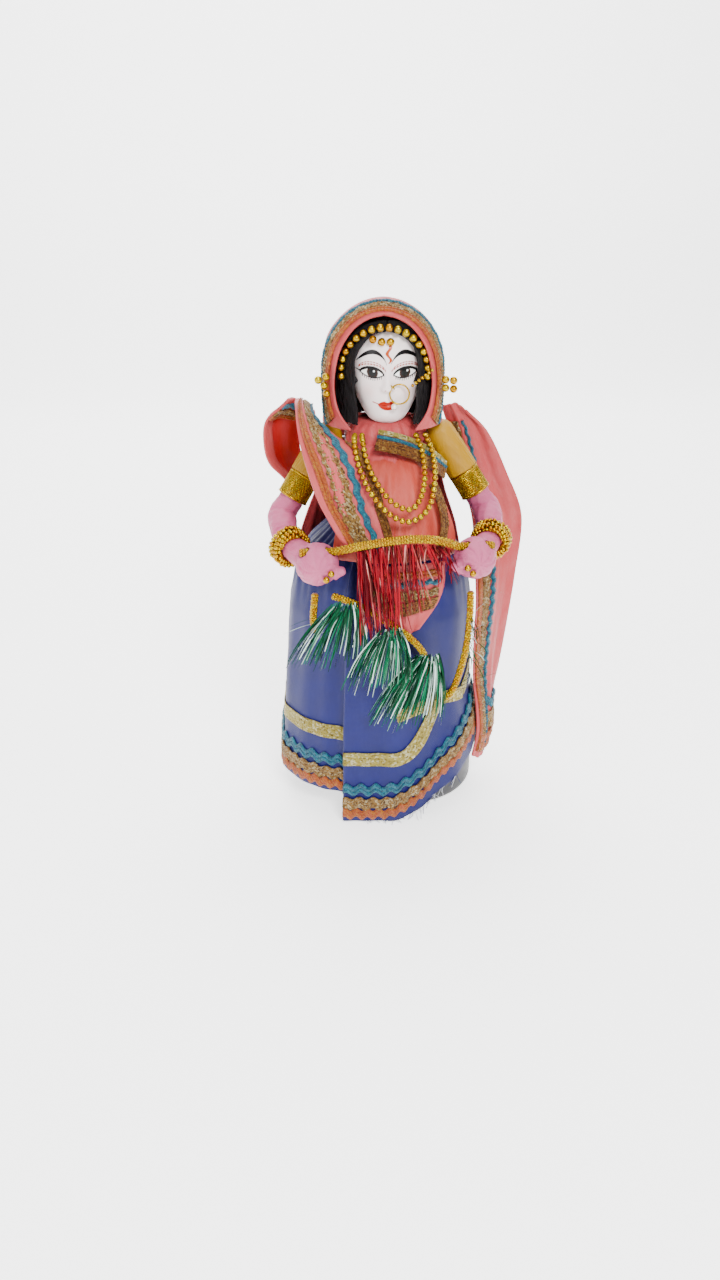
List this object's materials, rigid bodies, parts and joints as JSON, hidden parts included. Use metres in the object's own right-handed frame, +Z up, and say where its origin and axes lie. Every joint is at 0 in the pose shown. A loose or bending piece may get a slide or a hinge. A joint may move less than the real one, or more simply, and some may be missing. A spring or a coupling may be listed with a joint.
{
  "type": "dressed puppet doll",
  "caption": "Free-standing Indian bride doll in a gathered skirt and braided veil, holding a bead and tinsel garland between both fists; head turns and arms lift.",
  "frame": {"origin": "centre of the underside of the round base, on the surface it stands on", "axes": "+Z up; the doll faces -Y, so its own left hand is on +X"},
  "size_m": [0.1214, 0.1031, 0.229],
  "materials": {
    "black_plastic": "moulded black plastic, slightly scuffed",
    "plaster": "cast plaster",
    "dowel_wood": "turned softwood",
    "paper_stuffing": "rolled newsprint and glue",
    "torso_wood": "carved softwood",
    "steel_wire": "galvanised wire",
    "yellow_satin": "satin",
    "blue_satin": "satin",
    "gold_ribbon": "metallic woven ribbon",
    "teal_braid": "glossy wavy braid",
    "zari_braid": "metallic zari braid",
    "orange_braid": "glossy twisted cord",
    "pink_chiffon": "sheer crepe",
    "coral_chiffon": "sheer crepe",
    "gold_beads": "gold lacquered plastic beads",
    "bead_thread": "waxed thread",
    "doll_paint": "white enamel with painted features",
    "black_hair": "black yarn wig",
    "gold_plate": "polished stamped metal",
    "pearl": "pearl lacquer",
    "arm_cloth": "stuffed cotton",
    "mesh_cuff": "gold wire mesh ribbon",
    "gold_rope": "crocheted metallic cord",
    "red_foil": "metallised film tinsel",
    "green_foil": "metallised film tinsel"
  },
  "bodies": {
    "figure": {"base_cup": "black_plastic", "ballast_plug": "plaster", "core_dowel": "dowel_wood", "skirt_stuffing": "paper_stuffing", "torso_form": "torso_wood", "shoulder_wire": "steel_wire", "choli_bodice": "yellow_satin", "skirt": "blue_satin", "skirt_gold_ribbon": "gold_ribbon", "skirt_teal_braid": "teal_braid", "skirt_zari_braid": "zari_braid", "skirt_orange_braid": "orange_braid", "neck_wrap": "pink_chiffon", "shoulder_loop": "coral_chiffon", "shoulder_band": "pink_chiffon", "band_orange_cord": "orange_braid", "band_zari_braid": "zari_braid", "band_teal_cord": "teal_braid", "belly_wrap": "coral_chiffon", "belly_gold_trim": "gold_ribbon", "drape_tail": "pink_chiffon", "tail_braid": "zari_braid", "side_fall": "pink_chiffon", "side_braid": "zari_braid", "back_veil": "pink_chiffon", "bead_necklaces": "gold_beads", "necklace_threads": "bead_thread"},
    "head": {"doll_head": "doll_paint", "hair_wig": "black_hair", "hood": "pink_chiffon", "hood_orange_cord": "orange_braid", "hood_zari_braid": "zari_braid", "hood_teal_cord": "teal_braid", "bead_headband": "gold_beads", "nath_chain": "gold_plate"},
    "nose_ring": {"nose_ring": "gold_plate", "nose_pearl": "pearl"},
    "left_earring": {"left_earring": "gold_beads"},
    "right_earring": {"right_earring": "gold_beads"},
    "garland": {"garland_rope": "gold_rope", "garland_loop": "gold_rope", "garland_tail": "gold_rope", "red_tinsel": "red_foil", "green_tinsel": "green_foil"},
    "left_upper_arm": {"left_arm_core": "arm_cloth", "left_sleeve": "yellow_satin", "left_cuff": "mesh_cuff", "left_elbow_wire": "steel_wire"},
    "left_forearm": {"left_forearm": "arm_cloth", "left_hand": "arm_cloth", "left_bangles": "gold_beads", "left_finger_ring": "gold_beads"},
    "right_upper_arm": {"right_arm_core": "arm_cloth", "right_sleeve": "yellow_satin", "right_cuff": "mesh_cuff", "right_elbow_wire": "steel_wire"},
    "right_forearm": {"right_forearm": "arm_cloth", "right_hand": "arm_cloth", "right_bangles": "gold_beads", "right_finger_ring": "gold_beads"}
  },
  "joints": [
    {"name": "head_turn", "type": "hinge", "parent": "figure", "child": "head", "pos_m": [-0.012, 0, 0.1745], "axis": [0, 0, 1], "range_deg": [-25, 25]},
    {"name": "nose_ring_swing", "type": "hinge", "parent": "head", "child": "nose_ring", "pos_m": [-0.01123, -0.01752, 0.1957], "axis": [-0.9925, 0.1219, 0], "range_deg": [-5, 25]},
    {"name": "left_earring_swing", "type": "hinge", "parent": "head", "child": "left_earring", "pos_m": [0.01041, -0.01937, 0.2003], "axis": [-0.9925, 0.1219, 0], "range_deg": [-5, 25]},
    {"name": "right_earring_swing", "type": "hinge", "parent": "head", "child": "right_earring", "pos_m": [-0.03843, -0.01338, 0.2013], "axis": [-0.9925, 0.1219, 0], "range_deg": [-5, 25]},
    {"name": "right_shoulder", "type": "hinge", "parent": "figure", "child": "right_upper_arm", "pos_m": [-0.037, 0, 0.172], "axis": [-1, 0, 0], "range_deg": [0, 35]},
    {"name": "left_shoulder", "type": "hinge", "parent": "figure", "child": "left_upper_arm", "pos_m": [0.013, 0, 0.172], "axis": [-1, 0, 0], "range_deg": [0, 35]},
    {"name": "right_elbow", "type": "hinge", "parent": "right_upper_arm", "child": "right_forearm", "pos_m": [-0.058, -0.005, 0.139], "axis": [-1, 0, 0], "range_deg": [0, 17.5]},
    {"name": "left_elbow", "type": "hinge", "parent": "left_upper_arm", "child": "left_forearm", "pos_m": [0.034, -0.005, 0.139], "axis": [-1, 0, 0], "range_deg": [0, 17.5]},
    {"name": "garland_hang", "type": "hinge", "parent": "right_forearm", "child": "garland", "pos_m": [-0.0455, -0.042, 0.134], "axis": [-1, 0, 0], "range_deg": [-52.5, 0]}
  ],
  "couplings": [
    {"joint": "left_shoulder", "follows": "right_shoulder", "ratio": 1},
    {"joint": "right_elbow", "follows": "right_shoulder", "ratio": 0.5},
    {"joint": "left_elbow", "follows": "right_shoulder", "ratio": 0.5},
    {"joint": "garland_hang", "follows": "right_shoulder", "ratio": -1.5}
  ]
}
